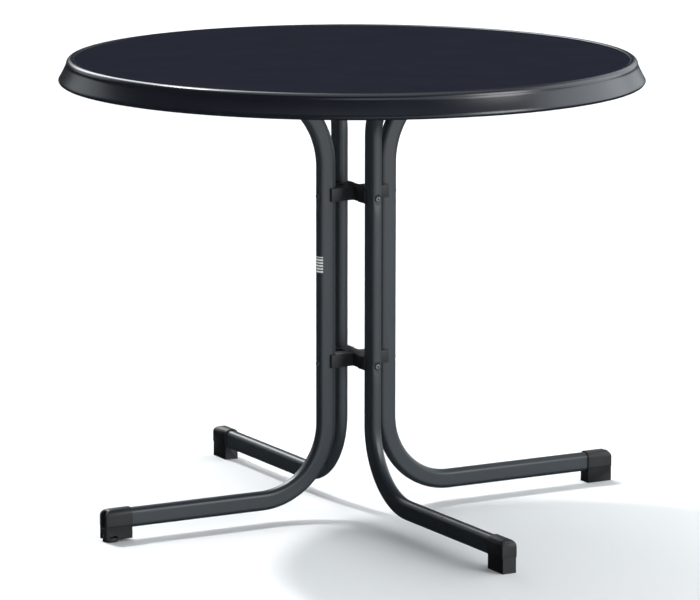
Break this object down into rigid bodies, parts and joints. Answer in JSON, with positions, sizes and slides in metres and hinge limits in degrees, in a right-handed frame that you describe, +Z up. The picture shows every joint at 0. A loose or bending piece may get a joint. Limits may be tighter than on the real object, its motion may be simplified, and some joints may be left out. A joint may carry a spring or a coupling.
{
  "type": "bistro table",
  "caption": "Round bistro table with a moulded slate-dark top that tilts up on hinges, bent flat-oval steel legs crossing at two black connectors, and a levelling foot.",
  "frame": {"origin": "centre of the footprint on the floor, under the centre of the round top", "axes": "+Z up; +X from the hinge side towards the catch side of the tilting top; +Y completes the right-handed frame"},
  "size_m": [0.908, 0.908, 0.72],
  "materials": {
    "slate_plate": "fine textured matt",
    "leg_paint": "satin powder coat",
    "black_plastic": "matt",
    "grey_steel": "zinc plated",
    "label_film": "semi-matt"
  },
  "bodies": {
    "base": {"leg_tube_a": "leg_paint", "leg_tube_b": "leg_paint", "leg_tube_c": "leg_paint", "leg_tube_d": "leg_paint", "foot_cap_a": "black_plastic", "foot_cap_b": "black_plastic", "foot_cap_c": "black_plastic", "foot_cap_d": "black_plastic", "connector_upper": "black_plastic", "connector_lower": "black_plastic", "leg_bolts_upper": "grey_steel", "leg_bolts_lower": "grey_steel", "leg_nuts_upper": "grey_steel", "leg_nuts_lower": "grey_steel", "hinge_fitting_a": "black_plastic", "hinge_fitting_b": "black_plastic", "arm_plug_c": "black_plastic", "arm_plug_d": "black_plastic", "glide_nut": "grey_steel", "blank_label": "label_film"},
    "top": {"tabletop": "slate_plate", "hinge_bracket_a": "grey_steel", "hinge_bracket_b": "grey_steel", "hinge_pins": "grey_steel", "bracket_screws": "grey_steel", "catch_saddle_c": "black_plastic", "catch_saddle_d": "black_plastic", "saddle_screws": "grey_steel"},
    "glide": {"glide_disc": "black_plastic", "glide_stud": "grey_steel"}
  },
  "joints": [
    {"name": "top_tilt", "type": "hinge", "parent": "base", "child": "top", "pos_m": [-0.17893, 0, 0.684], "axis": [0, -1, 0], "range_deg": [0, 90]},
    {"name": "glide_lift", "type": "slide", "parent": "base", "child": "glide", "axis": [0, 0, -1], "range_m": [-0.002, 0.008]}
  ]
}
